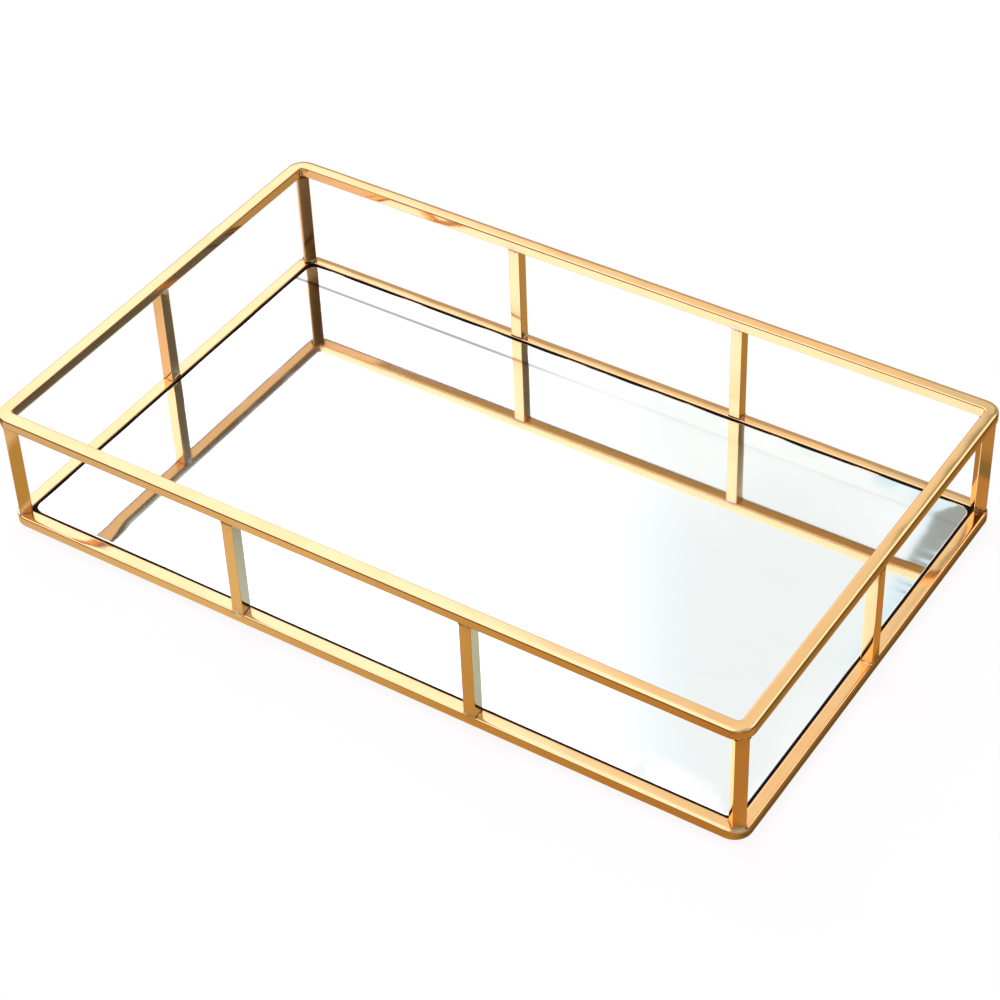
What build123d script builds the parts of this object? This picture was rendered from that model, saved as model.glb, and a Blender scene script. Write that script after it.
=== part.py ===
"""Rectangular mirror tray with an open gold bar cage, for a dresser.

Millimetres, +Z up.  The long side lies along X and the front rail faces -Y.  The origin is
the centre of the footprint, on the surface that the tray's feet stand on.
"""
from build123d import *
import os

# ---- driving dimensions ------------------------------------------------------------------
length = 300.0            # outside, along X
width = 183.0             # outside, along Y
rim_stack = 49.7          # underside of the lower rim to the top of the upper rim
foot_thickness = 0.8      # felt pad under each corner, what the tray stands on

bar_width = 5.0           # rim bar, seen from above
bar_height = 4.4          # rim bar, seen from the side
bar_edge_radius = 0.6     # polished edge of the rim bar
corner_radius_inner = 1.6     # bend of the rim bar, inside of the corner

post_side = 4.7           # square bar of every post
post_edge_radius = 0.3
post_inset = 0.15         # outer face of a middle post, in from the outer face of the rims
corner_post_inset = 4.2   # centre line of a corner post, in from both outer faces
mid_post_x = 47.6         # middle posts of the long sides, either side of the centre

mirror_recess = 0.35      # mirror face below the lower rim's top
mirror_thickness = 2.0
mirror_gap = 0.9          # black joint between the rim and the glass
mirror_corner_radius = 4.0
mirror_edge_chamfer = 0.2     # ground arris of the glass, top edge
seal_below_glass = 0.2    # the joint's face, below the glass
card_clearance = 0.3      # backing card to the rim, all round

ledge_width = 8.0         # flat strips inside the lower rim, which carry the glass
ledge_thickness = 0.8
cover_thickness = 0.5     # flocked sheet that closes the underside
cover_clearance = 0.2     # sheet to the rim, all round
foot_diameter = 14.0
foot_inset = 18.0         # foot centre, in from both outer faces

# ---- levels and outlines worked out from them --------------------------------------------
lower_rim_bottom = foot_thickness
lower_rim_top = lower_rim_bottom + bar_height
upper_rim_top = lower_rim_bottom + rim_stack
upper_rim_bottom = upper_rim_top - bar_height
mirror_top = lower_rim_top - mirror_recess
mirror_bottom = mirror_top - mirror_thickness
cover_bottom = lower_rim_bottom
ledge_bottom = cover_bottom + cover_thickness
ledge_top = ledge_bottom + ledge_thickness
card_thickness = mirror_bottom - ledge_top
post_length = upper_rim_bottom - lower_rim_top

opening_length = length - 2 * bar_width
opening_width = width - 2 * bar_width
corner_radius_outer = corner_radius_inner + bar_width


def rounded_plate(size_x, size_y, radius, bottom, thickness):
    """Flat plate with round corners, centred on Z, standing on the level called bottom."""
    outline = Plane.XY.offset(bottom) * RectangleRounded(size_x, size_y, radius)
    return extrude(outline, thickness)


def rim(bottom):
    """Closed ring of bar, bent at the four corners, with its long edges polished round."""
    outer = rounded_plate(length, width, corner_radius_outer, bottom, bar_height)
    hole = rounded_plate(opening_length, opening_width, corner_radius_inner, bottom, bar_height)
    ring = outer - hole
    ends = ring.faces().filter_by(Axis.Z)
    return fillet(ends.edges(), bar_edge_radius)


def post(x, y, turn):
    """Square bar standing between the rims; turn is the angle of its faces about Z."""
    section = Plane.XY.offset(lower_rim_top) * RectangleRounded(post_side, post_side, post_edge_radius)
    return Pos(x, y, 0) * Rot(0, 0, turn) * extrude(section, post_length)


def ledge_strip(side_length, distance, turn):
    """Flat strip on one inner side of the lower rim, with mitred ends; turn is its side."""
    half = side_length / 2
    outline = Plane.XY.offset(ledge_bottom) * make_face(Polyline(
        (-half, -distance), (half, -distance),
        (half - ledge_width, -distance + ledge_width),
        (-half + ledge_width, -distance + ledge_width),
        close=True,
    ))
    return Rot(0, 0, turn) * extrude(outline, ledge_thickness)


def mirror_panel():
    """The glass: ground round corners and a fine chamfer on the top edge."""
    size_x = opening_length - 2 * mirror_gap
    size_y = opening_width - 2 * mirror_gap
    plate = rounded_plate(size_x, size_y, mirror_corner_radius, mirror_bottom, mirror_thickness)
    return chamfer(plate.faces().sort_by(Axis.Z)[-1].edges(), mirror_edge_chamfer)


def mirror_edge_seal():
    """Black joint that fills the gap round the glass, down to the backing card."""
    height = mirror_thickness - seal_below_glass
    outer = rounded_plate(opening_length, opening_width, corner_radius_inner, mirror_bottom, height)
    hole = rounded_plate(
        opening_length - 2 * mirror_gap, opening_width - 2 * mirror_gap,
        mirror_corner_radius, mirror_bottom, height,
    )
    return outer - hole


def foot_pad(x, y):
    """Round felt pad, stuck under the cover."""
    return Pos(x, y, foot_thickness / 2) * Cylinder(foot_diameter / 2, foot_thickness)


parts = {
    "lower_rim": rim(lower_rim_bottom),
    "upper_rim": rim(upper_rim_bottom),
    "mirror_panel": mirror_panel(),
    "mirror_edge_seal": mirror_edge_seal(),
    "backing_card": rounded_plate(
        opening_length - 2 * card_clearance, opening_width - 2 * card_clearance,
        corner_radius_inner, ledge_top, card_thickness,
    ),
    "base_cover": rounded_plate(
        opening_length - 2 * cover_clearance, opening_width - 2 * cover_clearance,
        corner_radius_inner, cover_bottom, cover_thickness,
    ),
}

side_names = {"front": (0, -1), "back": (0, 1), "left": (-1, 0), "right": (1, 0)}
post_centre_inset = post_inset + post_side / 2
ledge_corner_cut = corner_radius_inner      # the strips stop short of the rim's inner bend

for side, (sign_x, sign_y) in side_names.items():
    if sign_y:
        run, reach = opening_length, opening_width / 2
        for end, sign in (("left", -1), ("right", 1)):
            y = sign_y * (width / 2 - post_centre_inset)
            parts[f"mid_post_{side}_{end}"] = post(sign * mid_post_x, y, 0)
    else:
        run, reach = opening_width, opening_length / 2
        parts[f"mid_post_{side}"] = post(sign_x * (length / 2 - post_centre_inset), 0, 0)
    turn = {"front": 0, "right": 90, "back": 180, "left": 270}[side]
    parts[f"ledge_strip_{side}"] = ledge_strip(run - 2 * ledge_corner_cut, reach, turn)

for depth, sign_y in (("front", -1), ("back", 1)):
    for side, sign_x in (("left", -1), ("right", 1)):
        corner = (
            sign_x * (length / 2 - corner_post_inset), sign_y * (width / 2 - corner_post_inset)
        )
        parts[f"corner_post_{depth}_{side}"] = post(*corner, 45)
        parts[f"foot_pad_{depth}_{side}"] = foot_pad(
            sign_x * (length / 2 - foot_inset), sign_y * (width / 2 - foot_inset)
        )

os.makedirs("parts", exist_ok=True)
for name, solid in parts.items():
    export_step(solid, f"parts/{name}.step")
print(len(parts), "parts, overall height", round(upper_rim_top, 2))
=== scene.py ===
"""Finished surfaces of a mirrored vanity tray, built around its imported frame.

Metres, +Z up, in the part's own frame: the long side lies along X and the front rail faces -Y.
Laid out as an add-on and run as a script.
"""
from math import cos, pi, radians, sin

import bmesh
import bpy
import numpy as np
from bpy.props import FloatProperty, FloatVectorProperty, PointerProperty
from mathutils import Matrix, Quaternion, Vector


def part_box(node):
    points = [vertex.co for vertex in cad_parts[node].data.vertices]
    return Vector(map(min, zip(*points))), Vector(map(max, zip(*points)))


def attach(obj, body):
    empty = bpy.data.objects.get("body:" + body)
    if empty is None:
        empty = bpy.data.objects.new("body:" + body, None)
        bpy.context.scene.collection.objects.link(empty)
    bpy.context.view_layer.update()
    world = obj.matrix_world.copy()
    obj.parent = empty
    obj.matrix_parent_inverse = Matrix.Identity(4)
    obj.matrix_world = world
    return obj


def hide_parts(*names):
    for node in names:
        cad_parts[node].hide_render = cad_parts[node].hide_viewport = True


bl_info = {
    "name": "Mirrored Vanity Tray",
    "version": (1, 0, 0),
    "blender": (4, 5, 0),
    "location": "View3D > Sidebar > Tray",
    "description": "Builds the polished rails, posts, mirror and backing of a dresser tray",
    "category": "Add Mesh",
}

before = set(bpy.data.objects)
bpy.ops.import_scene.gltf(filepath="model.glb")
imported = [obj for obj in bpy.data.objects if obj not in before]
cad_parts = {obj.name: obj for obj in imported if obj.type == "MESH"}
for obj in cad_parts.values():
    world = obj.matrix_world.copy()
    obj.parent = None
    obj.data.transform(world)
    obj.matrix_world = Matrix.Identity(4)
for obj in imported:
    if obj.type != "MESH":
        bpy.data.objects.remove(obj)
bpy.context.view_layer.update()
MM = 0.001
BODY = "root"
SIDES = {"front": -90, "right": 0, "back": 90, "left": 180}     # way each side faces, degrees about Z
CORNERS = {"front_right": -45, "back_right": 45, "back_left": 135, "front_left": -135}
SHOULDER_START = 0.42       # share of a bar's half width where its outer shoulder begins
MERGED = 0.0005 * MM        # points nearer than this are one
FLAT = 0.0002 * MM          # edges shorter than this are dissolved

# features per metre in the noises of the finishes
GRAIN = {
    "mottle": 55.0,
    "peel": 260.0,
    "bloom": 900.0,
    "solder": 340.0,
    "wiping": 22.0,
    "skin": 700.0,
    "dust": 2600.0,
    "pile": 3800.0,
    "nap": 26.0,
    "tangle": 1500.0,
    "hairs": 420.0,
    "pulp": 380.0,
    "flecks": 1300.0,
    "paint": 900.0,
    "rubbed": 160.0,
    "floor": 40.0,
}
POLISHING_LINES = (45.0, 2600.0, 1.0)       # lines per metre along a bar and round it
RELIEF = {"plate": 0.006 * MM, "skin": 0.02 * MM, "pile": 0.12 * MM, "felt": 0.15 * MM,
          "board": 0.05 * MM, "paint": 0.03 * MM}


def span(node):
    """Lowest and highest corner of a frame node, as arrays."""
    low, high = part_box(node)
    return np.array(low), np.array(high)


# ---- sizes and colours that a user would change ------------------------------------------


def size(name, description, default):
    """A length property, in metres."""
    settings = {"default": default, "unit": "LENGTH", "precision": 5}
    return FloatProperty(name=name, description=description, **settings)


def tint(name, description, default):
    """A linear colour property."""
    settings = {"default": default, "size": 3, "subtype": "COLOR"}
    return FloatVectorProperty(name=name, description=description, **settings)


def turn(name, description, degrees):
    """An angle property."""
    return FloatProperty(name=name, description=description, default=radians(degrees), subtype="ANGLE")


def number(name, description, default):
    """A plain number property."""
    return FloatProperty(name=name, description=description, default=default)


class TrayBars(bpy.types.PropertyGroup):
    """Section of the bent rim bars and of the square posts."""

    bar_width: size("Bar width", "Rim bar seen from above", 5.0 * MM)
    edge_radius: size("Bar edge", "Polished round edge of the rim bar", 0.5 * MM)
    inner_bend: size("Inner bend", "Inside radius of the rim's corners", 1.6 * MM)
    crown: size("Crown", "How far the middle of a bar's face stands above its edges", 0.03 * MM)
    lean: turn("Lean", "How far the tops of the rims slope outwards at the back", 1.6)
    back_lean: turn("Back lean", "How much more the lower rim's back run slopes", 3.0)
    back_crown: size("Back crown", "How much more the lower rim's back run swells", 0.08 * MM)
    shoulder: size("Shoulder", "How far the outer edge of a rim's face is polished down", 0.24 * MM)
    bend_pinch: size("Bend pinch", "How much thinner the outside of a bend is than its inside", 0.10 * MM)
    wave: size("Polish wave", "Height of the long waves left by polishing", 0.018 * MM)
    post_side: size("Post side", "Square bar of the posts", 4.7 * MM)
    post_edge: size("Post edge", "Polished round edge of the posts", 0.28 * MM)
    braze: size("Braze fillet", "Radius of the fillet where a post meets a rim", 0.35 * MM)


class TrayGold(bpy.types.PropertyGroup):
    """Polished gold plate."""

    gold: tint("Gold", "Colour of the plate", (1.0, 0.60, 0.27))
    rose: tint("Warm gold", "Warmer patches of the plate", (0.98, 0.52, 0.20))
    edge: tint("Glancing gold", "Colour of the plate seen at a glancing angle", (1.0, 0.80, 0.52))
    solder: tint("Solder", "Pale spots of solder by the joints", (1.0, 0.86, 0.62))
    roughness: number("Roughness", "Blur of the polish", 0.06)


class TrayMirror(bpy.types.PropertyGroup):
    """Silvered glass and the dark joint round it."""

    corner: size("Corner radius", "Ground corner of the glass", 4.0 * MM)
    arris: size("Arris", "Ground edge of the glass", 0.06 * MM)
    roll_off: size("Edge roll-off", "How far in from the edge the glass starts to dip", 12.0 * MM)
    dip: size("Edge dip", "How far the glass dips at its edge", 0.20 * MM)
    # the border gives where a painted grey line runs in the mirror's colour; it is a painted reflection,
    # not a mark in the silvering
    border: size("Border", "How far in from the edge a faint line runs in the silvering", 9.6 * MM)
    ripple: size("Edge ripple", "Height of the ripples near the edge", 0.026 * MM)
    # painted reflections: the pale strip along the front border and the grey line along the back border
    painted_strip_reflection: tint("Veil", "Colour of the border's faint strip at the front", (0.93, 0.90, 0.96))
    line: tint("Line", "Colour of the border's grey line at the back", (0.32, 0.30, 0.21))
    silver: tint("Silver", "Colour of the silvering", (0.955, 0.975, 0.97))
    roughness: number("Roughness", "Blur of the mirror", 0.045)
    joint: tint("Joint", "Colour of the dark joint", (0.009, 0.007, 0.005))


class TrayBacking(bpy.types.PropertyGroup):
    """What closes the underside, and the feet."""

    cover_corner: size("Cover corner", "Corner radius of the flocked cover", 1.6 * MM)
    flock: tint("Flocking", "Colour of the cover", (0.020, 0.019, 0.023))
    felt: tint("Felt", "Colour of the pads", (0.075, 0.070, 0.066))
    board: tint("Board", "Colour of the backing card", (0.16, 0.13, 0.10))
    paint: tint("Paint", "Colour of the ledge strips", (0.03, 0.03, 0.03))
    steel: tint("Bare steel", "Colour where the paint is rubbed", (0.16, 0.15, 0.14))


class TrayStage(bpy.types.PropertyGroup):
    """Camera, floor and light."""

    azimuth: turn("Azimuth", "Camera, to the right of the front", 34.456)
    elevation: turn("Elevation", "Camera, above the floor", 41.329)
    roll: turn("Roll", "Camera, about its own axis", -2.480)
    distance: size("Distance", "Camera to the point that it looks at", 973.1 * MM)
    aim_x: size("Aim along", "Point looked at, along the long side", -1.85 * MM)
    aim_y: size("Aim across", "Point looked at, across the tray", 4.0 * MM)
    lens: number("Lens", "Focal length in millimetres", 97.888)
    floor: tint("Floor", "Colour of the floor", (0.86, 0.86, 0.86))
    glow: tint("Floor glow", "Light that lifts the floor's shadows", (1.0, 0.985, 0.99))
    lift: number("Floor lift", "Share of that light", 0.88)
    window: tint("Window", "Light of the large window on the left", (1.50, 1.58, 2.02))
    haze: tint("Haze", "Light of the pale wall to the right of the window", (1.02, 1.03, 1.01))
    mist: tint("Mist", "Darker patches of that wall", (0.91, 0.935, 0.93))
    sheen: tint("Sheen", "Bluish right edge of that wall", (0.76, 0.89, 0.95))
    corner: tint("Corner", "Light of the grey corner to the right of the wall", (0.36, 0.37, 0.34))
    fill: tint("Fill", "Light of the box behind on the right", (1.60, 1.45, 1.40))
    room: tint("Room", "Light of the unlit part of the room", (0.53, 0.52, 0.53))
    ceiling: tint("Ceiling", "Light of the room straight overhead", (0.90, 0.90, 0.88))
    steel: tint("Steel", "Bluish light high behind on the right", (0.48, 0.80, 1.42))
    shade: tint("Shade", "Light of the brown corner behind on the right", (0.085, 0.080, 0.042))
    skirting: tint("Dark edge", "Light of the dark patches that draw the bars' edges", (0.07, 0.05, 0.03))


# ---- node helpers ------------------------------------------------------------------------


class Wire:
    """An output of a node. Sums, products and powers of wires add Math nodes."""

    def __init__(self, tree, socket=None):
        self.tree = tree
        self.socket = socket

    def node(self, kind, settings=None, sockets=None, out=0):
        """Adds a node, applies its settings, fills its sockets with values or wires, gives an output."""
        made = self.tree.nodes.new(kind)
        for name, value in (settings or {}).items():
            if name == "stops":
                set_stops(made.color_ramp, value)
            else:
                setattr(made, name, value)
        for name, value in (sockets or {}).items():
            if isinstance(value, Wire):
                self.tree.links.new(value.socket, made.inputs[name])
            else:
                made.inputs[name].default_value = value
        return Wire(self.tree, made.outputs[out]) if made.outputs else None

    def maths(self, operation, *values):
        """A Math node on up to three values."""
        return self.node("ShaderNodeMath", {"operation": operation}, dict(enumerate(values)))

    def __add__(self, other):
        return self.maths("ADD", self, other)

    def __sub__(self, other):
        return self.maths("SUBTRACT", self, other)

    def __rsub__(self, other):
        return self.maths("SUBTRACT", other, self)

    def __mul__(self, other):
        return self.maths("MULTIPLY", self, other)

    def __truediv__(self, other):
        return self.maths("DIVIDE", self, other)

    def __pow__(self, other):
        return self.maths("POWER", self, other)

    __radd__ = __add__
    __rmul__ = __mul__

    def step(self, low, high):
        """0 below low, 1 above high, smooth between."""
        settings = {"interpolation_type": "SMOOTHSTEP"}
        sockets = {"Value": self, "From Min": low, "From Max": high}
        return self.node("ShaderNodeMapRange", settings, sockets)

    def mix(self, first, second):
        """Colour between first and second, by this wire."""
        return self.node("ShaderNodeMix", {"data_type": "RGBA"}, {0: self, 6: first, 7: second}, 2)

    def axes(self, *names):
        """Some of the coordinates of this vector, as wires."""
        return [self.node("ShaderNodeSeparateXYZ", None, {"Vector": self}, name) for name in names]

    def ramp(self, low, high, stops):
        """Colour from a ramp of (position, colour) stops laid from low to high."""
        place = (self - low) / (high - low)
        stops = [(position, solid(colour)) for position, colour in stops]
        return self.node("ShaderNodeValToRGB", {"stops": stops}, {"Fac": place})

    def noise(self, scale, detail=2.0, stretch=(1, 1, 1)):
        """Noise from 0 to 1 at these coordinates, stretched along each axis."""
        spread = self.node("ShaderNodeMapping", None, {"Vector": self, "Scale": stretch})
        sockets = {"Vector": spread, "Scale": scale, "Detail": detail}
        return self.node("ShaderNodeTexNoise", None, sockets)

    def bump(self, distance, strength=1.0):
        """Normal of a surface raised by this height, up to distance."""
        sockets = {"Height": self, "Distance": distance, "Strength": strength}
        return self.node("ShaderNodeBump", None, sockets)


def set_stops(ramp, stops):
    """Fills a colour ramp with (position, colour) stops."""
    while len(ramp.elements) < len(stops):
        ramp.elements.new(1.0)
    for element, (position, colour) in zip(ramp.elements, stops):
        element.position = position
        element.color = colour


def solid(colour):
    """A linear colour with full alpha."""
    return (*colour, 1.0)


def scaled(colour, factor):
    """A linear colour made lighter or darker."""
    return tuple(channel * factor for channel in colour)


def empty_wire(owner):
    """A wire in the emptied node tree of a material or a world."""
    owner.use_nodes = True
    owner.node_tree.nodes.clear()
    return Wire(owner.node_tree)


def finish(name, sockets):
    """A material with one Principled shader; sockets is a function from a Wire to socket values."""
    material = bpy.data.materials.new(name)
    wire = empty_wire(material)
    shader = wire.node("ShaderNodeBsdfPrincipled", None, sockets(wire))
    wire.node("ShaderNodeOutputMaterial", None, {"Surface": shader})
    return material


def object_place(wire):
    """Object coordinates, in metres."""
    return wire.node("ShaderNodeTexCoord", out=3)


# ---- materials ---------------------------------------------------------------------------


def gold_plate():
    """Polished plate: lines along the bar, warm mottling, bloom and solder by the joints, and painted
    shade in a dark line where a post meets a rim.
    """
    gold = bpy.context.scene.tray_gold

    def sockets(wire):
        place = object_place(wire)
        along = wire.node("ShaderNodeUVMap", {"uv_map": "along_bar"})
        worn = wire.node("ShaderNodeAttribute", {"attribute_name": "worn_edge"}, out=2)
        braze = wire.node("ShaderNodeAttribute", {"attribute_name": "braze"}, out=2)
        patches = place.noise(GRAIN["mottle"], 3.0).step(0.42, 0.72)
        lines = along.noise(1.0, 3.0, POLISHING_LINES)
        peel = place.noise(GRAIN["peel"])
        bloom = place.noise(GRAIN["bloom"], 4.0).step(0.35, 0.75) * braze
        solder = place.noise(GRAIN["solder"]).step(0.50, 0.60) * braze.step(0.5, 0.85)
        # painted shade: a dark line at the very ends of the posts, where they meet the rims
        seam = braze.step(0.96, 0.995)
        dull, dark = scaled(gold.rose, 0.45), scaled(gold.rose, 0.15)
        colour = (patches * 0.45 + braze * 0.5).mix(solid(gold.gold), solid(gold.rose))
        colour = (bloom * 0.25).mix(colour, solid(dull))
        colour = (seam * 0.75).mix(colour, solid(dark))
        colour = (solder * 0.75).mix(colour, solid(gold.solder))
        rough = gold.roughness + lines * 0.035 + peel.step(0.4, 0.8) * 0.03
        rough = rough + worn * 0.03 + bloom * 0.12 + solder * 0.22
        relief = peel * 0.9 + lines * 0.35 + solder * 3.0
        return {
            "Base Color": colour,
            "Metallic": 1.0,
            "Specular Tint": solid(gold.edge),
            "Roughness": rough,
            "Normal": relief.bump(RELIEF["plate"]),
        }

    return finish("gold_plate", sockets)


def mirror_silver():
    """Silvered glass: wiping marks in its gloss, and painted reflections along its border.

    A grey line with a fading inner side, a painted reflection, runs along the back and dies away to the
    right. A pale strip, also a painted reflection, lies along the right half of the front.
    """
    mirror = bpy.context.scene.tray_mirror

    def sockets(wire):
        place = object_place(wire)
        x, y = place.axes("X", "Y")
        half_y = span("mirror_panel")[1][1]
        wiped = place.noise(GRAIN["wiping"], 4.0, (1.0, 3.5, 1.0)).step(0.5, 0.85)
        colour = wiped.mix(solid(mirror.silver), solid(scaled(mirror.silver, 0.985)))
        # painted reflection: a faint pale strip along the front border, on its right half
        front = y + (half_y - mirror.border * 0.8)
        strip = front.step(0.15 * MM, -0.15 * MM) * x.step(20 * MM, 60 * MM)
        colour = (strip * 0.12).mix(colour, solid(scaled(mirror.painted_strip_reflection, 0.75)))
        # painted reflection: a grey line along the back border, with a glow fading inwards, dying away to
        # the right
        inside = half_y - mirror.border - y
        painted_line_core = inside.step(-0.6 * MM, 0.2 * MM) * (1 - inside.step(0.8 * MM, 2.0 * MM))
        glow = inside.step(0.0, 0.8 * MM) * (1 - inside.step(0.0, 6.0 * MM))
        fading = 1 - x.step(-70 * MM, 10 * MM) * 0.88
        colour = ((painted_line_core * 0.8 + glow * 0.35) * fading).mix(colour, solid(mirror.line))
        rough = mirror.roughness + wiped * 0.03
        return {"Base Color": colour, "Metallic": 1.0, "Roughness": rough}

    return finish("mirror_silver", sockets)


def black_joint():
    """Satin black sealant with a slightly uneven skin."""
    mirror = bpy.context.scene.tray_mirror

    def sockets(wire):
        place = object_place(wire)
        skin = place.noise(GRAIN["skin"], 3.0)
        dust = place.noise(GRAIN["dust"]).step(0.62, 0.8)
        dusty = scaled(mirror.joint, 3.0)
        return {
            "Base Color": (dust * 0.35).mix(solid(mirror.joint), solid(dusty)),
            "Roughness": 0.42 + skin * 0.2,
            "Specular IOR Level": 0.015,
            "Normal": skin.bump(RELIEF["skin"]),
        }

    return finish("black_joint", sockets)


def flocking():
    """Short dense pile: dark, matt, with a nap that lies in patches."""
    backing = bpy.context.scene.tray_backing

    def sockets(wire):
        place = object_place(wire)
        pile = place.noise(GRAIN["pile"])
        nap = place.noise(GRAIN["nap"], 3.0, (1.0, 0.35, 1.0)).step(0.38, 0.68)
        deep, light = scaled(backing.flock, 0.6), scaled(backing.flock, 2.1)
        return {
            "Base Color": (nap * 0.6 + pile * 0.4).mix(solid(deep), solid(light)),
            "Roughness": 0.95,
            "Sheen Weight": 0.35,
            "Sheen Roughness": 0.5,
            "Normal": pile.bump(RELIEF["pile"]),
        }

    return finish("flocking", sockets)


def pressed_felt():
    """Grey felt: tangled fibres of two greys, with a few pale hairs."""
    backing = bpy.context.scene.tray_backing

    def sockets(wire):
        place = object_place(wire)
        tangle = place.noise(GRAIN["tangle"], 5.0)
        hairs = place.noise(GRAIN["hairs"], 4.0, (1.0, 5.0, 1.0)).step(0.6, 0.72)
        deep, light, pale = [scaled(backing.felt, factor) for factor in (0.6, 1.5, 3.2)]
        colour = tangle.step(0.3, 0.7).mix(solid(deep), solid(light))
        return {
            "Base Color": (hairs * 0.5).mix(colour, solid(pale)),
            "Roughness": 0.97,
            "Sheen Weight": 0.25,
            "Normal": tangle.bump(RELIEF["felt"]),
        }

    return finish("pressed_felt", sockets)


def grey_board():
    """Dense recycled board with flecks of lighter fibre."""
    backing = bpy.context.scene.tray_backing

    def sockets(wire):
        place = object_place(wire)
        pulp = place.noise(GRAIN["pulp"], 5.0)
        flecks = place.noise(GRAIN["flecks"], 2.0, (1.0, 2.6, 1.0)).step(0.64, 0.72)
        deep, light, pale = [scaled(backing.board, factor) for factor in (0.75, 1.25, 2.4)]
        colour = pulp.mix(solid(deep), solid(light))
        return {
            "Base Color": (flecks * 0.6).mix(colour, solid(pale)),
            "Roughness": 0.8 + pulp * 0.15,
            "Normal": pulp.bump(RELIEF["board"]),
        }

    return finish("grey_board", sockets)


def black_paint():
    """Thin paint on rolled strip, with its orange peel and rubbed spots."""
    backing = bpy.context.scene.tray_backing

    def sockets(wire):
        place = object_place(wire)
        peel = place.noise(GRAIN["paint"], 3.0)
        rubbed = place.noise(GRAIN["rubbed"], 5.0).step(0.66, 0.74)
        return {
            "Base Color": (rubbed * 0.5).mix(solid(backing.paint), solid(backing.steel)),
            "Roughness": 0.38 + peel * 0.25,
            "Normal": peel.bump(RELIEF["paint"]),
        }

    return finish("black_paint", sockets)


# ---- surfaces ----------------------------------------------------------------------------


def rounded_loop(half_x, half_y, radius, turn_steps, run_steps):
    """Rectangle with round corners, run anticlockwise from its lower right corner.

    A corner is a quarter circle of the given radius about its centre, and a side is a straight run
    between two of them; run_steps are the stations on a side along Y and on a side along X.
    Gives the points and their outward directions, one row each.
    """
    centres = np.array([(1, -1), (1, 1), (-1, 1), (-1, -1)]) * (half_x - radius, half_y - radius)
    points, outward = [], []
    for quarter in range(4):
        angle = np.radians(90 * quarter - 90 + np.linspace(0, 90, turn_steps, endpoint=False))
        bend = np.stack([np.cos(angle), np.sin(angle)], 1)
        facing = np.array([cos(pi / 2 * quarter), sin(pi / 2 * quarter)])
        share = np.linspace(0, 1, run_steps[quarter % 2], endpoint=False)[:, None]
        run = (1 - share) * centres[quarter] + share * centres[(quarter + 1) % 4]
        points += [centres[quarter] + radius * bend, run + radius * facing]
        outward += [bend, np.repeat(facing[None], len(share), 0)]
    return np.concatenate(points), np.concatenate(outward)


def gone_along(points):
    """Distance gone round a closed line at each of its points, and the whole distance at the end."""
    steps = np.linalg.norm(np.roll(points, -1, 0) - points, axis=1)
    return np.concatenate([[0.0], np.cumsum(steps)])


def bar_section(half_u, half_v, radius, crown, shoulder=0.0):
    """Section of a bar: a rounded rectangle whose faces swell by crown towards their middles.

    A face's height falls with the square of the distance from its middle. Past the middle of its
    outer half the top, and the bottom, also fall away by shoulder, again with a square. Gives the
    section's points, how far round they are, and 1 on the round edges falling to 0 on the faces.
    """
    points, outward = rounded_loop(half_u, half_v, radius, 8, (10, 14))
    u, v = points[:, 0] / half_u, points[:, 1] / half_v
    fall = shoulder * np.clip((u - SHOULDER_START) / (1 - SHOULDER_START), 0, None) ** 2
    swell = np.stack([points[:, 0] - crown * u * v**2, points[:, 1] - (crown * u**2 + fall) * v], 1)
    worn = 2 * np.abs(outward[:, 0] * outward[:, 1])
    return swell, gone_along(swell), worn


def waves(along, whole, counts, shift):
    """Sum of sines with whole numbers of waves in the given length, each with its own start."""
    total = np.zeros_like(along)
    for count in counts:
        total += np.sin(2 * pi * count * along / whole + 2.4 * count + shift)
    return total / len(counts)


def ring_mesh(name, points, along, around, closed, attributes=None, seam=False):
    """Mesh of a grid of points whose rows are closed loops.

    Neighbouring rows are joined by quads. Where closed is true the last row joins the first.
    Otherwise the first and last rows are filled with flat faces, or, where seam is true, lie folded
    on a line and are merged shut. The UV map along_bar holds the distances along the rows and around
    each row.
    """
    rows, columns = points.shape[:2]
    row = np.arange(rows if closed else rows - 1)[:, None]
    column = np.arange(columns)[None]
    next_row, next_column = row + 1, (column + 1) % columns
    corners = [(row, column), (next_row, column), (next_row, next_column), (row, next_column)]
    quads = np.stack([(r % rows) * columns + c for r, c in corners], -1).reshape(-1, 4)
    across = [column, column, column + 1, column + 1]
    u = np.stack([np.broadcast_to(along[r], (len(row), columns)) for r, c in corners], -1)
    v = np.stack([np.broadcast_to(around[c], (len(row), columns)) for c in across], -1)
    uv = np.stack([u, v], -1).reshape(-1, 2)
    faces = quads.tolist()
    filled = not closed and not seam
    if filled:
        faces.append(list(range(columns))[::-1])
        faces.append(list(range((rows - 1) * columns, rows * columns)))
        uv = np.concatenate([uv, points[0, ::-1, :2], points[-1, :, :2]])

    mesh = bpy.data.meshes.new(name)
    mesh.from_pydata(points.reshape(-1, 3).tolist(), [], faces)
    mesh.uv_layers.new(name="along_bar").data.foreach_set("uv", uv.astype(np.float32).ravel())
    mesh.shade_smooth()
    if filled:
        for face in mesh.polygons[-2:]:
            face.use_smooth = False
    for attribute, values in (attributes or {}).items():
        values = np.broadcast_to(values, (rows, columns)).astype(np.float32)
        mesh.attributes.new(attribute, "FLOAT", "POINT").data.foreach_set("value", values.ravel())
    close_outward(mesh)
    return mesh


def close_outward(mesh):
    """Merges points that coincide, and turns the faces round if the closed mesh is inside out."""
    work = bmesh.new()
    work.from_mesh(mesh)
    bmesh.ops.remove_doubles(work, verts=work.verts, dist=MERGED)
    bmesh.ops.dissolve_degenerate(work, edges=work.edges, dist=FLAT)
    if work.calc_volume(signed=True) < 0:
        bmesh.ops.reverse_faces(work, faces=work.faces)
    work.to_mesh(mesh)
    work.free()
    mesh.validate()


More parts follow.
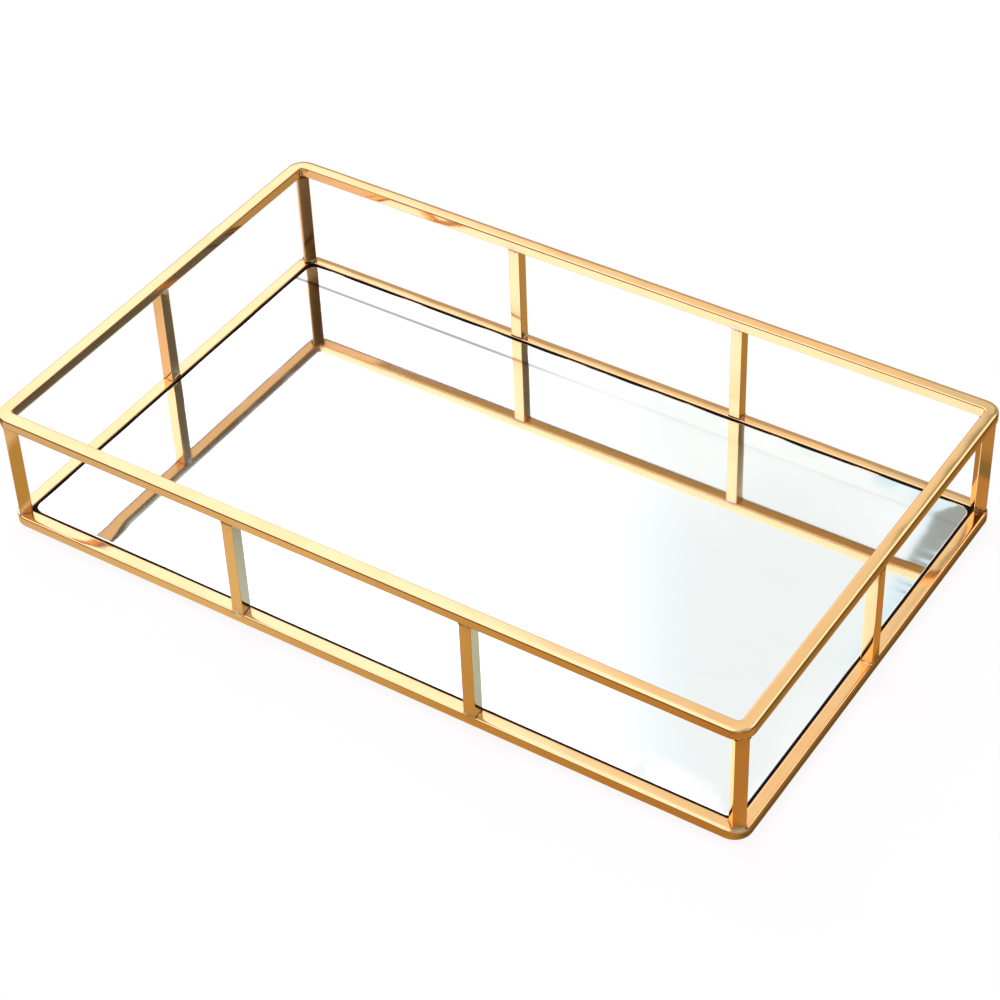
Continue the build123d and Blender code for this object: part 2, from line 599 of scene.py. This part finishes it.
def place_piece(name, mesh, material, replaced):
    """Links a finished mesh as a piece that rides on the tray and stands for its frame nodes."""
    piece = bpy.data.objects.new(name, mesh)
    mesh.materials.append(material)
    bpy.context.scene.collection.objects.link(piece)
    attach(piece, BODY)
    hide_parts(*replaced)
    return piece


def paint_node(node, material):
    """Gives a frame node that stays a procedural material."""
    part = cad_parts[node]
    part.data.materials.clear()
    part.data.materials.append(material)


FINISHES = {}


def shared(maker):
    """The material that a maker function makes, made once."""
    if maker not in FINISHES:
        FINISHES[maker] = maker()
    return FINISHES[maker]


def post_centres():
    """Middle of each post, by its name, in plan."""
    names = [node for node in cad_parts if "_post_" in node]
    return {node: sum(span(node))[:2] / 2 for node in names}


def near(points, places, reach):
    """1 at the nearest of some places, falling off as a bell of the given reach."""
    gaps = np.linalg.norm(points[:, None] - np.array(places)[None], axis=2).min(1)
    return np.exp(-((gaps / reach) ** 2))


BEND_REACH = 7 * MM         # how far from a bend its pinch is felt
RIM_JOINT_REACH = 3.4 * MM  # how far from a post's middle its joint marks a rim
POST_JOINT_REACH = 2.2 * MM     # how far from its end the joint marks a post
RIM_BRAZE = 0.9             # strength of that mark on a rim
TILT = 1.6                  # tilt of the polishing waves, to their height over the bar's half width
POST_CROWN = 0.02 * MM      # swell of a post's faces
POST_TWIST = radians(0.5)   # most that a post twists from foot to head
BURIED = 0.12 * MM          # how far a post reaches into the rims


def rim_mesh(name, shift):
    """A bar carried round a rounded rectangle.

    The section's outward and upward coordinates are laid off from the centre line. At the back its
    top falls outwards by the tangent of its lean. Polishing waves tilt and lift it a little along
    the way, and each bend is pinched on its outside. The braze mark is a bell round each post, on
    the side that faces the posts.
    """
    bars = bpy.context.scene.tray_bars
    low, high = span(name)
    half_u, half_v = bars.bar_width / 2, (high - low)[2] / 2
    half = high[:2] - half_u
    centre_bend = bars.inner_bend + half_u
    line, outward = rounded_loop(*half, centre_bend, 28, (130, 210))
    section, around, worn = bar_section(half_u, half_v, bars.edge_radius, bars.crown, bars.shoulder)
    along = gone_along(line)
    gone, whole = along[:-1], along[-1]

    corners = [(x * half[0], y * half[1]) for x in (-1, 1) for y in (-1, 1)]
    bend = near(line, corners, BEND_REACH)
    joints = near(line, list(post_centres().values()), RIM_JOINT_REACH)
    lift = bars.wave * (waves(gone, whole, (14, 23, 37), shift) - 1) / 2
    tilt = bars.wave * waves(gone, whole, (11, 19, 31, 53), shift + 1) / half_u * TILT
    sway = bars.wave * (waves(gone, whole, (9, 17, 29), shift + 2) - 1) / 2

    rear = np.clip(outward[:, 1:], 0, None)
    twisted = rear * (name == "lower_rim")
    u, v = section[None, :, 0], section[None, :, 1]
    slope = np.tan(bars.lean * rear + bars.back_lean * twisted) * (u + half_u)
    slope = (slope + bars.back_crown * twisted * (u / half_u) ** 2) * np.clip(v / half_v, 0, 1)
    pinch = bars.bend_pinch * bend[:, None] * (0.5 + 0.5 * u / half_u)
    out = u + sway[:, None] + tilt[:, None] * 0.5 * v
    up = v * (1 - pinch / half_v) + lift[:, None] + tilt[:, None] * u - slope
    points = np.empty((len(line), len(section), 3))
    points[..., :2] = line[:, None] + outward[:, None] * out[..., None]
    points[..., 2] = (low + high)[2] / 2 + up
    facing = 1 if name == "lower_rim" else -1
    meets = np.clip(0.5 + facing * v / half_v, 0, 1)
    marks = {"worn_edge": worn[None], "braze": RIM_BRAZE * joints[:, None] * meets}
    return ring_mesh(name, points, along, around, True, marks)


def post_mesh(name, degrees, corner):
    """A square bar stood between the rims.

    Its half side grows near both ends along a quarter circle, as the braze fillet does, towards the
    rails and, in a corner, outwards too. Its faces twist by a part of a degree from foot to head.
    """
    bars = bpy.context.scene.tray_bars
    low, high = span(name)
    centre = (low + high)[:2] / 2
    half = bars.post_side / 2
    section, around, worn = bar_section(half, half, bars.post_edge, POST_CROWN)
    end = bars.braze * (1 - np.cos(np.linspace(0, pi / 2, 9)))
    body = np.linspace(bars.braze, (high - low)[2] / 2, 24)[1:]
    rise = np.concatenate([[-BURIED], end, body])
    height = np.concatenate([low[2] + rise, (high[2] - rise[:-1])[::-1]])
    from_end = np.clip(np.minimum(height - low[2], high[2] - height), 0, None)
    depth = np.minimum(from_end, bars.braze)
    flare = bars.braze - np.sqrt(bars.braze**2 - (bars.braze - depth) ** 2)

    out, side = section[None, :, 0], section[None, :, 1]
    side = side * (1 + flare[:, None] / half)
    out = out + (np.clip(out, 0, None) / half * flare[:, None] if corner else 0 * flare[:, None])
    share = (height - low[2]) / (high - low)[2] - 0.5
    angle = (radians(degrees) + POST_TWIST * share * cos(3 * degrees + len(name)))[:, None]
    points = np.empty((len(height), len(section), 3))
    points[..., 0] = centre[0] + out * np.cos(angle) - side * np.sin(angle)
    points[..., 1] = centre[1] + out * np.sin(angle) + side * np.cos(angle)
    points[..., 2] = height[:, None]
    joints = np.exp(-((from_end / POST_JOINT_REACH) ** 2))
    marks = {"worn_edge": worn[None], "braze": joints[:, None]}
    return ring_mesh(name, points, height, around, False, marks)


def plate_mesh(name, half, corner, levels, top, insets, face):
    """A plate with round corners, made of rings.

    Ring after ring goes out under the plate from its middle line, up the edge and then inwards over
    the top face to the middle line again, each a rounded rectangle set in from the outline; face
    gives how far the top stands off its level at a place.
    """
    counts = tuple(int(round(2 * h / (1.0 * MM))) for h in (half[1], half[0]))
    middle = half.min()

    def ring(inset):
        """Outline set in by a distance; its corners sharpen on the way."""
        radius = np.clip(corner - inset, min(1.0 * MM, (middle - inset) / 2), None)
        return rounded_loop(*(half - inset), radius, 10, counts)[0]

    rings = []
    for inset, level in [(middle, levels[0][1]), *levels]:
        outline = ring(inset)
        rings.append(np.column_stack([outline, np.full(len(outline), level)]))
    for inset in (*insets, middle):
        outline = ring(inset)
        rings.append(np.column_stack([outline, top + face(outline[:, 0], outline[:, 1])]))
    points = np.array(rings)
    along = np.concatenate([[0.0], np.cumsum(np.linalg.norm(np.diff(points[:, 0], axis=0), axis=1))])
    return ring_mesh(name, points, along, gone_along(points[1, :, :2]), False, seam=True)


# ---- operators ---------------------------------------------------------------------------


class TRAY_OT_rims(bpy.types.Operator):
    """Builds the lower and the upper gold rim"""

    bl_idname = "tray.rims"
    bl_label = "Gold rims"

    def execute(self, context):
        for order, node in enumerate(("lower_rim", "upper_rim")):
            mesh = rim_mesh(node, 1.7 * order)
            place_piece("gold_" + node, mesh, shared(gold_plate), [node])
        return {"FINISHED"}


class TRAY_OT_posts(bpy.types.Operator):
    """Builds the ten gold posts between the rims"""

    bl_idname = "tray.posts"
    bl_label = "Gold posts"

    def execute(self, context):
        for node in post_centres():
            words = node.split("_")
            corner = words[0] == "corner"
            degrees = CORNERS["_".join(words[2:])] if corner else SIDES[words[2]]
            mesh = post_mesh(node, degrees, corner)
            place_piece("gold_" + node, mesh, shared(gold_plate), [node])
        return {"FINISHED"}


# share of the edge's dip, of its wander along the edge and of the ripples, by side of the glass
EDGES = {"right": (0.55, 0.12, 0.35), "left": (0.6, 0.45, 0.35), "back": (0.8, 0.45, 0.2),
         "front": (1.4, 0.45, 1.0)}
# the front edge turns up on the left: where it starts, how softly, and the change of its share
TURN_UP_AT, TURN_UP_SOFTNESS, TURN_UP = -75 * MM, 7 * MM, 2.3
LONG_WAVE, SHORT_WAVE = 6.2 * MM, 2.9 * MM      # waves of the wander, over two pi
RIPPLE_WAVE, RIPPLE_DRIFT = 0.8 * MM, 7 * MM    # waves of the ripples and of their drift, over two pi
EDGE_DEPTH = 2.4            # height of the ground edge, to the dip


class TRAY_OT_mirror(bpy.types.Operator):
    """Builds the silvered glass"""

    bl_idname = "tray.mirror"
    bl_label = "Mirror"

    def execute(self, context):
        settings = context.scene.tray_mirror
        low, high = span("mirror_panel")
        half = high[:2]

        def face(x, y):
            """Dips with the square of the way into a border strip.

            The depth of the dip rises and falls along the edge in long waves, and short ripples
            that fade inwards lie over it.
            """
            gaps = {"right": half[0] - x, "left": half[0] + x, "back": half[1] - y}
            gaps["front"] = half[1] + y
            turned_up = 1 / (1 + np.exp((x - TURN_UP_AT) / TURN_UP_SOFTNESS))
            height = 0 * x
            for side, (weight, roam, stir) in EDGES.items():
                near_edge = np.clip(1 - gaps[side] / settings.roll_off, 0, 1) ** 2
                travel = y if side in ("left", "right") else x
                wander = np.sin(travel / LONG_WAVE + 1.1) + 0.5 * np.sin(travel / SHORT_WAVE)
                ripple = np.sin(travel / RIPPLE_WAVE + 3 * np.sin(travel / RIPPLE_DRIFT))
                share = weight - TURN_UP * turned_up * (side == "front")
                height -= near_edge * settings.dip * share * (1 + roam * wander)
                height += near_edge * settings.ripple * stir * (ripple - 1) / 2
            return height

        arris = settings.arris
        edge = high[2] - arris - EDGE_DEPTH * settings.dip
        insets = np.concatenate([[arris], np.arange(0.5, 13, 0.5) * MM, np.arange(14, 85, 10) * MM])
        levels = [(0.0, low[2]), (0.0, edge)]
        mesh = plate_mesh("mirror", half, settings.corner, levels, high[2], insets, face)
        place_piece("mirror_glass", mesh, shared(mirror_silver), ["mirror_panel"])
        return {"FINISHED"}


KEYED = 0.04 * MM           # how far the joint reaches into the wall on either side
JOINT_LIP = 0.06 * MM       # how far its edges climb the walls
JOINT_HOLLOW = 0.14 * MM    # how deep its face is hollowed
JOINT_WAVE = 0.03 * MM      # how uneven its face is along the way
JOINT_STRIP = 0.3 * MM      # width of one strip of its face in the UV map
JOINT_STEPS = (24, (120, 200))      # stations on a bend, and on a side along Y and along X


class TRAY_OT_joint(bpy.types.Operator):
    """Builds the dark joint between the glass and the lower rim

    Its face runs from wall to wall and hangs between them as half a sine wave.
    """

    bl_idname = "tray.joint"
    bl_label = "Dark joint"

    def execute(self, context):
        settings = context.scene.tray_mirror
        bars = context.scene.tray_bars
        low, high = span("mirror_edge_seal")
        glass = span("mirror_panel")[1][:2]
        outer, _ = rounded_loop(*(high[:2] + KEYED), bars.inner_bend, *JOINT_STEPS)
        inner, _ = rounded_loop(*(glass - KEYED), settings.corner, *JOINT_STEPS)
        share = np.linspace(0, 1, 9)
        hollow = high[2] + JOINT_LIP - JOINT_HOLLOW * np.sin(pi * share)
        share = np.concatenate([[0], share, [1]])
        level = np.concatenate([[low[2]], hollow, [low[2]]])
        points = np.empty((len(outer), len(share), 3))
        points[..., :2] = outer[:, None] * (1 - share[:, None]) + inner[:, None] * share[:, None]
        along = gone_along(outer)
        uneven = JOINT_WAVE * waves(along[:-1], along[-1], (31, 57, 93), 0.4)
        points[..., 2] = level + uneven[:, None] * (level > low[2]) * np.sin(pi * share)
        around = np.concatenate([[0.0], np.cumsum(np.full(len(share), JOINT_STRIP))])
        mesh = ring_mesh("joint", points, along, around, True)
        place_piece("black_joint", mesh, shared(black_joint), ["mirror_edge_seal"])
        return {"FINISHED"}


COVER_EDGE = 0.15 * MM      # rounding of the cover's edge
SWELL = 0.05 * MM           # height of its swells
SWELL_X, SWELL_Y, SWELL_SLANT = 19 * MM, 13 * MM, 47 * MM      # their waves, over two pi


class TRAY_OT_backing(bpy.types.Operator):
    """Builds the flocked cover and finishes the card and the ledge strips behind the glass"""

    bl_idname = "tray.backing"
    bl_label = "Backing"

    def execute(self, context):
        paint_node("backing_card", shared(grey_board))
        for side in SIDES:
            paint_node("ledge_strip_" + side, shared(black_paint))
        low, high = span("base_cover")
        settings = context.scene.tray_backing

        def face(x, y):
            """Low swells where the sheet isn't stuck down all over."""
            swell = np.sin(x / SWELL_X) * np.sin(y / SWELL_Y + x / SWELL_SLANT)
            return SWELL * (1 - swell) / 2

        levels = [(0.0, high[2]), (0.0, low[2] + COVER_EDGE)]
        insets = np.concatenate([[COVER_EDGE, 0.4 * MM], np.arange(1, 20) * 4.3 * MM])
        mesh = plate_mesh("cover", high[:2], settings.cover_corner, levels, low[2], insets, face)
        place_piece("flocked_cover", mesh, shared(flocking), ["base_cover"])
        return {"FINISHED"}


FELT_EDGE = 0.22            # soft edge of a pad, to its thickness
FELT_FLAT = 0.9             # flat middle of a pad, to its radius
FELT_RAGGED = 0.006         # unevenness of its outline, to its radius


class TRAY_OT_feet(bpy.types.Operator):
    """Builds the felt pads

    A pad is a disc whose edge turns over in quarter circles; two sines make its outline ragged.
    """

    bl_idname = "tray.feet"
    bl_label = "Felt pads"

    def execute(self, context):
        for order, node in enumerate(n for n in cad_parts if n.startswith("foot_pad")):
            low, high = span(node)
            radius, thick = (high - low)[0] / 2, (high - low)[2]
            angle = np.linspace(0, 2 * pi, 96, endpoint=False)
            soft = FELT_EDGE * thick
            bend = np.linspace(0, pi / 2, 6)
            lower = np.column_stack([radius - soft * (1 - np.sin(bend)), soft * (1 - np.cos(bend))])
            upper = np.column_stack([lower[::-1, 0], thick - lower[::-1, 1]])
            flat = FELT_FLAT * radius
            rings = np.concatenate([[[flat, 0]], lower, upper, [[flat, thick]]])
            uneven = np.sin(17 * angle + order) * np.sin(5 * angle + 2 * order)
            ragged = 1 - FELT_RAGGED * (1 + uneven)
            points = np.empty((len(rings), len(angle), 3))
            points[..., 0] = (low + high)[0] / 2 + rings[:, :1] * np.cos(angle) * ragged
            points[..., 1] = (low + high)[1] / 2 + rings[:, :1] * np.sin(angle) * ragged
            points[..., 2] = low[2] + rings[:, 1:]
            along = np.linspace(0, thick, len(rings))
            mesh = ring_mesh(node, points, along, radius * np.append(angle, 2 * pi), False)
            place_piece("felt_" + node, mesh, shared(pressed_felt), [node])
        return {"FINISHED"}


class TRAY_OT_stage(bpy.types.Operator):
    """Sets up the floor, the studio light and the camera"""

    bl_idname = "tray.stage"
    bl_label = "Stage"

    def execute(self, context):
        scene = context.scene
        stage = scene.tray_stage
        scene.view_settings.view_transform = "Standard"
        scene.view_settings.look = "None"
        pale_floor(stage)
        studio_world(scene, stage)
        soft_light(scene)
        set_camera(scene, stage)
        return {"FINISHED"}


# Painted reflection of the floor in the polished bars, as ramps of colours that glow for reflected rays
# only, with painted shadow of the tray next to its right side and a painted shade patch off the front
# left corner: along its front, outwards from its right and left sides, and far off. Then how far each
# ramp reaches, and where one gives way to another, all in metres from the middle or, for sides and
# corners, from the tray's outline.
PAINTED_FRONT_REFLECTION = [(0.0, (0.67, 0.66, 0.60)), (0.28, (0.73, 0.69, 0.50)), (0.42, (0.62, 0.54, 0.34)),
               (0.6, (0.53, 0.40, 0.17)), (0.85, (0.44, 0.28, 0.10))]
PAINTED_RIGHT_REFLECTION_AND_SHADOW = [(0.0, (0.13, 0.11, 0.06)), (0.045, (0.17, 0.14, 0.08)), (0.085, (0.50, 0.34, 0.14)),
              (0.37, (0.46, 0.31, 0.13)), (0.41, (0.24, 0.21, 0.12)), (0.52, (0.24, 0.21, 0.12)),
              (0.66, (0.44, 0.31, 0.14))]
PAINTED_BACK_REFLECTION = (0.38, 0.31, 0.17)
PAINTED_LEFT_REFLECTION = [(0.0, (0.93, 0.85, 0.78)), (0.45, (0.92, 0.82, 0.84)), (0.62, (0.80, 0.75, 0.70))]
PAINTED_POST_SHADE = (0.47, 0.37, 0.15)
PAINTED_FAR_REFLECTION = [(0.0, (0.22, 0.16, 0.08)), (0.12, (0.14, 0.09, 0.045)), (0.6, (0.10, 0.07, 0.045))]
FRONT_SPAN, SIDE_REACH, FAR_REACH = (-0.15, 0.17), 0.052, 0.8
TO_BACK, BACK_SHARE = (-0.06, 0.09), 0.8
TO_RIGHT, TO_LEFT, TO_SIDES, TO_FAR = (-0.004, 0.002), (-0.002, 0.004), (-0.006, 0.004), (0.048, 0.062)
POST_X, POST_Y, POST_NEAR, POST_FAR = (-0.09, -0.11), (-0.08, -0.09), (0.004, 0.007), (0.03, 0.036)
FLOOR_REACH = 6.0           # radius of the floor


def painted_floor_reflection(place):
    """Painted reflection of the floor in the polished bars, by place, with painted shadow and shade near
    the tray.
    """
    x, y = place.axes("X", "Y")
    half = span("lower_rim")[1]
    right, left, front = x - half[0], (x + half[0]) * -1.0, y + half[1]
    beyond_x, beyond_y = place.maths("ABSOLUTE", x) - half[0], place.maths("ABSOLUTE", y) - half[1]
    clear = place.maths("MAXIMUM", beyond_x, beyond_y)
    close = (y.step(*TO_BACK) * BACK_SHARE).mix(x.ramp(*FRONT_SPAN, PAINTED_FRONT_REFLECTION), solid(PAINTED_BACK_REFLECTION))
    beside = front.step(*TO_SIDES)
    # painted shadow: the dark band right next to the tray's right side stands in for its cast shadow
    close = (right.step(*TO_RIGHT) * beside).mix(close, right.ramp(0.0, SIDE_REACH, PAINTED_RIGHT_REFLECTION_AND_SHADOW))
    close = (left.step(*TO_LEFT) * beside).mix(close, left.ramp(0.0, SIDE_REACH, PAINTED_LEFT_REFLECTION))
    # painted shade: a darker patch on the floor off the front left corner
    painted_shade_by_posts = x.step(*POST_X) * y.step(*POST_Y) * clear.step(*POST_NEAR) * (1 - clear.step(*POST_FAR))
    close = painted_shade_by_posts.mix(close, solid(PAINTED_POST_SHADE))
    return clear.step(*TO_FAR).mix(close, clear.ramp(0.0, FAR_REACH, PAINTED_FAR_REFLECTION))


def pale_floor(stage):
    """A wide disc under the tray, pale to look at; the polished bars see a painted reflection of it
    instead, a glowing tan with painted shadows.
    """
    angle = np.linspace(0, 2 * pi, 96, endpoint=False)
    ring = np.column_stack([FLOOR_REACH * np.cos(angle), FLOOR_REACH * np.sin(angle), 0 * angle])
    mesh = bpy.data.meshes.new("floor")
    mesh.from_pydata(ring.tolist(), [], [list(range(len(ring)))])
    floor = bpy.data.objects.new("floor", mesh)
    bpy.context.scene.collection.objects.link(floor)
    material = bpy.data.materials.new("pale_floor")
    wire = empty_wire(material)
    place = object_place(wire)
    grain = place.noise(GRAIN["floor"], 3.0)
    colour = grain.mix(solid(scaled(stage.floor, 0.985)), solid(stage.floor))
    seen = wire.node("ShaderNodeBsdfDiffuse", None, {"Color": colour})
    glow = wire.node("ShaderNodeEmission", None, {"Color": solid(stage.glow), "Strength": 1.0})
    lit = wire.node("ShaderNodeMixShader", None, {0: stage.lift, 1: seen, 2: glow})
    # painted reflection: reflected rays see this glowing colour laid out by place, painted shadows
    # included, instead of the lit floor
    mirrored = wire.node("ShaderNodeEmission", None, {"Color": painted_floor_reflection(place), "Strength": 1.0})
    glossy = wire.node("ShaderNodeLightPath", out="Is Glossy Ray")
    both = wire.node("ShaderNodeMixShader", None, {0: glossy, 1: lit, 2: mirrored})
    wire.node("ShaderNodeOutputMaterial", None, {"Surface": both})
    mesh.materials.append(material)


# Patches of the studio: left, right, bottom, top and the half width of their soft edges. All the
# numbers down to STIR are degrees of azimuth or elevation; pairs are where a soft edge starts and ends.
CORNER_PATCH = (6, 30, 30, 60, 3.0)
FILL_PATCH = (-22, 12, 40, 62, 2.0)
STEEL_PATCH = (-85, -24, 30, 72, 4.0)
SHADE_PATCH = (-85, -26, -10, 41, 1.5)
DARK_PATCH = (-134, -100, 32, 60, 5.0)
FLAG_PATCH = (104, 176, -10, 32, 2.0)
WINDOW_START, WINDOW_END, WINDOW_SILL, SILL_TURN = (29.0, 38.0), (150.0, 176.0), (31.0, 35.0), 30.0
WALL_START, WALL_SILL, SHEEN_END = (11.0, 15.0), (29.0, 34.0), (21.6, 23.2)
NOTCH_END, NOTCH_BOTTOM, NOTCH_TOP, NOTCH_TURN = (23.1, 23.5), (41.2, 41.6), (42.6, 42.9), 22.9
HORIZON, OVERHEAD = (-2.0, 8.0), (64.0, 90.0)
STIR = {"window": 5.0, "wall": 3.0, "notch": 0.8, "ragged": 2.0}
SILL_SLANT, NOTCH_DROP, NOTCH_RISE = 0.8, 0.9, 0.2      # degrees up for each degree sideways
CLOUD_GRAIN, RAGGED_GRAIN, MIST_GRAIN = 5.0, 30.0, 11.0     # features of the noises per radian
FLAG_SHARE = 0.92


def studio_world(scene, stage):
    """Light by direction: a large window over the left side, a box behind on the right, a dim room.

    The window's lower right edge runs along a slant in azimuth and elevation. A notch in the pale
    wall's right edge grows taller to the right. Azimuth is measured from behind the tray towards
    its left.
    """
    world = bpy.data.worlds.new("studio")
    scene.world = world
    wire = empty_wire(world)
    way = wire.node("ShaderNodeTexCoord", out="Generated")
    x, y, z = way.axes("X", "Y", "Z")
    azimuth = wire.maths("ARCTAN2", x * -1.0, y) * (180 / pi)
    elevation = wire.maths("ARCSINE", z) * (180 / pi)
    cloud = way.noise(CLOUD_GRAIN, 3.0) - 0.5

    def between(value, low, high, soft):
        """1 from low to high, with soft edges."""
        return value.step(low - soft, low + soft) * (1 - value.step(high - soft, high + soft))

    def patch(left, right, bottom, top, soft):
        """1 inside a patch of the sky, in degrees, with soft edges."""
        return between(azimuth, left, right, soft) * between(elevation, bottom, top, soft)

    sill = elevation + (azimuth - SILL_TURN) * SILL_SLANT
    window = (azimuth + cloud * STIR["window"]).step(*WINDOW_START) * (1 - azimuth.step(*WINDOW_END))
    window = window * sill.step(*WINDOW_SILL)
    wall = (azimuth + cloud * STIR["wall"]).step(*WALL_START) * elevation.step(*WALL_SILL)
    ragged = azimuth + way.noise(RAGGED_GRAIN) * STIR["ragged"]
    level = elevation + cloud * STIR["notch"]
    past = NOTCH_TURN - azimuth
    notch = (level + past * NOTCH_DROP).step(*NOTCH_BOTTOM) * (1 - ragged.step(*NOTCH_END))
    notch = notch * (1 - (level - past * NOTCH_RISE).step(*NOTCH_TOP))
    pale = way.noise(MIST_GRAIN, 3.0).step(0.38, 0.62).mix(solid(stage.mist), solid(stage.haze))
    pale = (1 - azimuth.step(*SHEEN_END)).mix(pale, solid(stage.sheen))
    light = elevation.step(*HORIZON).mix(solid(stage.skirting), solid(stage.room))
    light = elevation.step(*OVERHEAD).mix(light, solid(stage.ceiling))
    light = patch(*CORNER_PATCH).mix(light, solid(stage.corner))
    light = patch(*FILL_PATCH).mix(light, solid(stage.fill))
    light = patch(*STEEL_PATCH).mix(light, solid(stage.steel))
    light = (patch(*SHADE_PATCH) * (0.9 + cloud * 0.4)).mix(light, solid(stage.shade))
    light = patch(*DARK_PATCH).mix(light, solid(stage.skirting))
    light = (wall * (1 - notch)).mix(light, pale)
    light = window.mix(light, solid(stage.window))
    light = (patch(*FLAG_PATCH) * FLAG_SHARE).mix(light, solid(stage.shade))
    glossy = wire.node("ShaderNodeLightPath", out="Is Glossy Ray")
    light = glossy.mix(solid((1.0, 1.0, 1.0)), light)
    shader = wire.node("ShaderNodeBackground", None, {"Color": light, "Strength": 1.0})
    wire.node("ShaderNodeOutputWorld", None, {"Surface": shader})


LAMP_PLACE, LAMP_SIZE, LAMP_POWER = (-1.0, 0.5, 1.6), 1.6, 22.0     # metres, metres, watts
SENSOR, NEAREST, FARTHEST = 36.0, 0.01, 50.0    # camera: millimetres, metres, metres


def soft_light(scene):
    """A wide soft light over the left of the tray, for the floor and the dark pieces."""
    data = bpy.data.lights.new("softbox", "AREA")
    data.shape = "SQUARE"
    data.size = LAMP_SIZE
    data.energy = LAMP_POWER
    lamp = bpy.data.objects.new("softbox", data)
    lamp.location = LAMP_PLACE
    lamp.rotation_euler = (-lamp.location).to_track_quat("-Z", "Y").to_euler()
    lamp.visible_glossy = False
    lamp.visible_camera = False
    scene.collection.objects.link(lamp)


def set_camera(scene, stage):
    """Camera on a line from its aim, by azimuth, elevation and distance, then rolled."""
    data = bpy.data.cameras.new("camera")
    data.lens = stage.lens
    data.sensor_width = SENSOR
    data.clip_start = NEAREST
    data.clip_end = FARTHEST
    camera = bpy.data.objects.new("camera", data)
    aim = Vector((stage.aim_x, stage.aim_y, span("lower_rim")[1][2]))
    flat = cos(stage.elevation)
    back = Vector((sin(stage.azimuth) * flat, -cos(stage.azimuth) * flat, sin(stage.elevation)))
    camera.location = aim + back * stage.distance
    level = (-back).to_track_quat("-Z", "Y")
    camera.rotation_mode = "QUATERNION"
    camera.rotation_quaternion = level @ Quaternion((0, 0, 1), stage.roll)
    scene.collection.objects.link(camera)
    scene.camera = camera


class TRAY_PT_panel(bpy.types.Panel):
    """Lists the sizes, the colours and the build steps"""

    bl_idname = "TRAY_PT_panel"
    bl_label = "Vanity tray"
    bl_space_type = "VIEW_3D"
    bl_region_type = "UI"
    bl_category = "Tray"

    def draw(self, context):
        for name, group in SETTINGS.items():
            part = self.layout.box()
            for setting in group.__annotations__:
                part.prop(getattr(context.scene, name), setting)
        for operator in STEPS:
            self.layout.operator(operator.bl_idname)


SETTINGS = {
    "tray_bars": TrayBars,
    "tray_gold": TrayGold,
    "tray_mirror": TrayMirror,
    "tray_backing": TrayBacking,
    "tray_stage": TrayStage,
}
STEPS = (
    TRAY_OT_rims,
    TRAY_OT_posts,
    TRAY_OT_mirror,
    TRAY_OT_joint,
    TRAY_OT_backing,
    TRAY_OT_feet,
    TRAY_OT_stage,
)
CLASSES = (*SETTINGS.values(), *STEPS, TRAY_PT_panel)


def register():
    """Registers the classes and hangs the settings on the scene."""
    for item in CLASSES:
        bpy.utils.register_class(item)
    for name, group in SETTINGS.items():
        setattr(bpy.types.Scene, name, PointerProperty(type=group))


def unregister():
    """Takes the settings and the classes away again."""
    for name in SETTINGS:
        delattr(bpy.types.Scene, name)
    for item in reversed(CLASSES):
        bpy.utils.unregister_class(item)


def main():
    """Builds every piece and the stage."""
    register()
    bpy.ops.tray.rims()
    bpy.ops.tray.posts()
    bpy.ops.tray.mirror()
    bpy.ops.tray.joint()
    bpy.ops.tray.backing()
    bpy.ops.tray.feet()
    bpy.ops.tray.stage()


if __name__ == "__main__":
    main()
